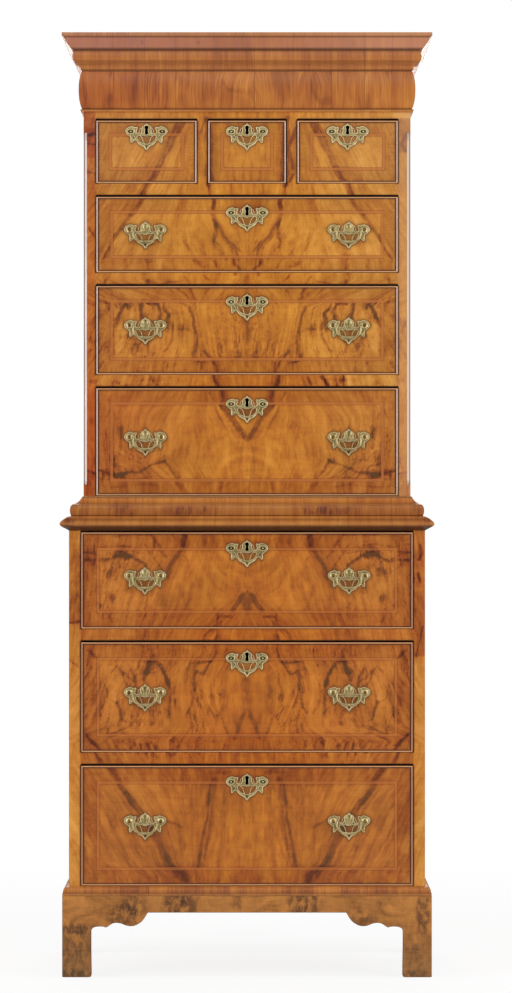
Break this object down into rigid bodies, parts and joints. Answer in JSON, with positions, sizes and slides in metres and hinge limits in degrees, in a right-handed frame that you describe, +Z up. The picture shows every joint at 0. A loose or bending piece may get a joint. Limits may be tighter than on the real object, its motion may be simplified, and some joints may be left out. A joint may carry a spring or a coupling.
{
  "type": "chest on chest",
  "caption": "Two stacked cases of drawers with a moulded cornice, waist moulding, pierced brass drop handles and bracket feet.",
  "frame": {"origin": "on the floor, under the middle of the object's box", "axes": "+Z up, -Y to the front where the drawers open, +X to the right of someone facing the front"},
  "size_m": [0.748, 0.488, 1.887],
  "materials": {
    "walnut_veneer": "figured walnut veneer, waxed, with feather banding and crossbanding",
    "walnut_moulding": "cross-grained walnut mouldings, waxed",
    "oak": "plain oak drawer linings, dry and a little worn",
    "pine": "plain softwood carcass boards, aged",
    "brass": "old cast brass, softly polished"
  },
  "bodies": {
    "case": {"bracket_base": "walnut_moulding", "lower_bottom_board": "pine", "lower_side_left": "walnut_veneer", "lower_side_right": "walnut_veneer", "lower_divider_1": "walnut_veneer", "lower_divider_2": "walnut_veneer", "lower_top_board": "pine", "lower_back": "pine", "waist_moulding": "walnut_moulding", "upper_side_left": "walnut_veneer", "upper_side_right": "walnut_veneer", "upper_bottom_board": "pine", "upper_divider_1": "walnut_veneer", "upper_divider_2": "walnut_veneer", "upper_divider_3": "walnut_veneer", "upper_top_board": "walnut_veneer", "upper_back": "pine", "cornice": "walnut_moulding"},
    "short_drawer_left": {"short_drawer_left_front": "walnut_veneer", "short_drawer_left_box": "oak"},
    "short_drawer_centre": {"short_drawer_centre_front": "walnut_veneer", "short_drawer_centre_box": "oak"},
    "short_drawer_right": {"short_drawer_right_front": "walnut_veneer", "short_drawer_right_box": "oak"},
    "upper_drawer_1": {"upper_drawer_1_front": "walnut_veneer", "upper_drawer_1_box": "oak", "upper_drawer_1_handle_plate_left": "brass", "upper_drawer_1_handle_plate_right": "brass"},
    "upper_drawer_2": {"upper_drawer_2_front": "walnut_veneer", "upper_drawer_2_box": "oak", "upper_drawer_2_handle_plate_left": "brass", "upper_drawer_2_handle_plate_right": "brass"},
    "upper_drawer_3": {"upper_drawer_3_front": "walnut_veneer", "upper_drawer_3_box": "oak", "upper_drawer_3_handle_plate_left": "brass", "upper_drawer_3_handle_plate_right": "brass"},
    "lower_drawer_1": {"lower_drawer_1_front": "walnut_veneer", "lower_drawer_1_box": "oak", "lower_drawer_1_handle_plate_left": "brass", "lower_drawer_1_handle_plate_right": "brass"},
    "lower_drawer_2": {"lower_drawer_2_front": "walnut_veneer", "lower_drawer_2_box": "oak", "lower_drawer_2_handle_plate_left": "brass", "lower_drawer_2_handle_plate_right": "brass"},
    "lower_drawer_3": {"lower_drawer_3_front": "walnut_veneer", "lower_drawer_3_box": "oak", "lower_drawer_3_handle_plate_left": "brass", "lower_drawer_3_handle_plate_right": "brass"},
    "upper_drawer_1_bail_left": {"upper_drawer_1_bail_left": "brass"},
    "upper_drawer_1_bail_right": {"upper_drawer_1_bail_right": "brass"},
    "upper_drawer_2_bail_left": {"upper_drawer_2_bail_left": "brass"},
    "upper_drawer_2_bail_right": {"upper_drawer_2_bail_right": "brass"},
    "upper_drawer_3_bail_left": {"upper_drawer_3_bail_left": "brass"},
    "upper_drawer_3_bail_right": {"upper_drawer_3_bail_right": "brass"},
    "lower_drawer_1_bail_left": {"lower_drawer_1_bail_left": "brass"},
    "lower_drawer_1_bail_right": {"lower_drawer_1_bail_right": "brass"},
    "lower_drawer_2_bail_left": {"lower_drawer_2_bail_left": "brass"},
    "lower_drawer_2_bail_right": {"lower_drawer_2_bail_right": "brass"},
    "lower_drawer_3_bail_left": {"lower_drawer_3_bail_left": "brass"},
    "lower_drawer_3_bail_right": {"lower_drawer_3_bail_right": "brass"}
  },
  "joints": [
    {"name": "short_drawer_left_slide", "type": "slide", "parent": "case", "child": "short_drawer_left", "axis": [0, -1, 0], "range_m": [0, 0.3]},
    {"name": "short_drawer_centre_slide", "type": "slide", "parent": "case", "child": "short_drawer_centre", "axis": [0, -1, 0], "range_m": [0, 0.3]},
    {"name": "short_drawer_right_slide", "type": "slide", "parent": "case", "child": "short_drawer_right", "axis": [0, -1, 0], "range_m": [0, 0.3]},
    {"name": "upper_drawer_1_slide", "type": "slide", "parent": "case", "child": "upper_drawer_1", "axis": [0, -1, 0], "range_m": [0, 0.3]},
    {"name": "upper_drawer_2_slide", "type": "slide", "parent": "case", "child": "upper_drawer_2", "axis": [0, -1, 0], "range_m": [0, 0.3]},
    {"name": "upper_drawer_3_slide", "type": "slide", "parent": "case", "child": "upper_drawer_3", "axis": [0, -1, 0], "range_m": [0, 0.3]},
    {"name": "lower_drawer_1_slide", "type": "slide", "parent": "case", "child": "lower_drawer_1", "axis": [0, -1, 0], "range_m": [0, 0.32]},
    {"name": "lower_drawer_2_slide", "type": "slide", "parent": "case", "child": "lower_drawer_2", "axis": [0, -1, 0], "range_m": [0, 0.32]},
    {"name": "lower_drawer_3_slide", "type": "slide", "parent": "case", "child": "lower_drawer_3", "axis": [0, -1, 0], "range_m": [0, 0.32]},
    {"name": "upper_drawer_1_bail_left_hinge", "type": "hinge", "parent": "upper_drawer_1", "child": "upper_drawer_1_bail_left", "pos_m": [-0.204, -0.2079, 1.49515], "axis": [-1, 0, 0], "range_deg": [0, 110]},
    {"name": "upper_drawer_1_bail_right_hinge", "type": "hinge", "parent": "upper_drawer_1", "child": "upper_drawer_1_bail_right", "pos_m": [0.204, -0.2079, 1.49515], "axis": [-1, 0, 0], "range_deg": [0, 110]},
    {"name": "upper_drawer_2_bail_left_hinge", "type": "hinge", "parent": "upper_drawer_2", "child": "upper_drawer_2_bail_left", "pos_m": [-0.204, -0.2079, 1.30315], "axis": [-1, 0, 0], "range_deg": [0, 110]},
    {"name": "upper_drawer_2_bail_right_hinge", "type": "hinge", "parent": "upper_drawer_2", "child": "upper_drawer_2_bail_right", "pos_m": [0.204, -0.2079, 1.30315], "axis": [-1, 0, 0], "range_deg": [0, 110]},
    {"name": "upper_drawer_3_bail_left_hinge", "type": "hinge", "parent": "upper_drawer_3", "child": "upper_drawer_3_bail_left", "pos_m": [-0.204, -0.2079, 1.07915], "axis": [-1, 0, 0], "range_deg": [0, 110]},
    {"name": "upper_drawer_3_bail_right_hinge", "type": "hinge", "parent": "upper_drawer_3", "child": "upper_drawer_3_bail_right", "pos_m": [0.204, -0.2079, 1.07915], "axis": [-1, 0, 0], "range_deg": [0, 110]},
    {"name": "lower_drawer_1_bail_left_hinge", "type": "hinge", "parent": "lower_drawer_1", "child": "lower_drawer_1_bail_left", "pos_m": [-0.204, -0.2359, 0.80165], "axis": [-1, 0, 0], "range_deg": [0, 110]},
    {"name": "lower_drawer_1_bail_right_hinge", "type": "hinge", "parent": "lower_drawer_1", "child": "lower_drawer_1_bail_right", "pos_m": [0.204, -0.2359, 0.80165], "axis": [-1, 0, 0], "range_deg": [0, 110]},
    {"name": "lower_drawer_2_bail_left_hinge", "type": "hinge", "parent": "lower_drawer_2", "child": "lower_drawer_2_bail_left", "pos_m": [-0.204, -0.2359, 0.56815], "axis": [-1, 0, 0], "range_deg": [0, 110]},
    {"name": "lower_drawer_2_bail_right_hinge", "type": "hinge", "parent": "lower_drawer_2", "child": "lower_drawer_2_bail_right", "pos_m": [0.204, -0.2359, 0.56815], "axis": [-1, 0, 0], "range_deg": [0, 110]},
    {"name": "lower_drawer_3_bail_left_hinge", "type": "hinge", "parent": "lower_drawer_3", "child": "lower_drawer_3_bail_left", "pos_m": [-0.204, -0.2359, 0.31115], "axis": [-1, 0, 0], "range_deg": [0, 110]},
    {"name": "lower_drawer_3_bail_right_hinge", "type": "hinge", "parent": "lower_drawer_3", "child": "lower_drawer_3_bail_right", "pos_m": [0.204, -0.2359, 0.31115], "axis": [-1, 0, 0], "range_deg": [0, 110]}
  ]
}
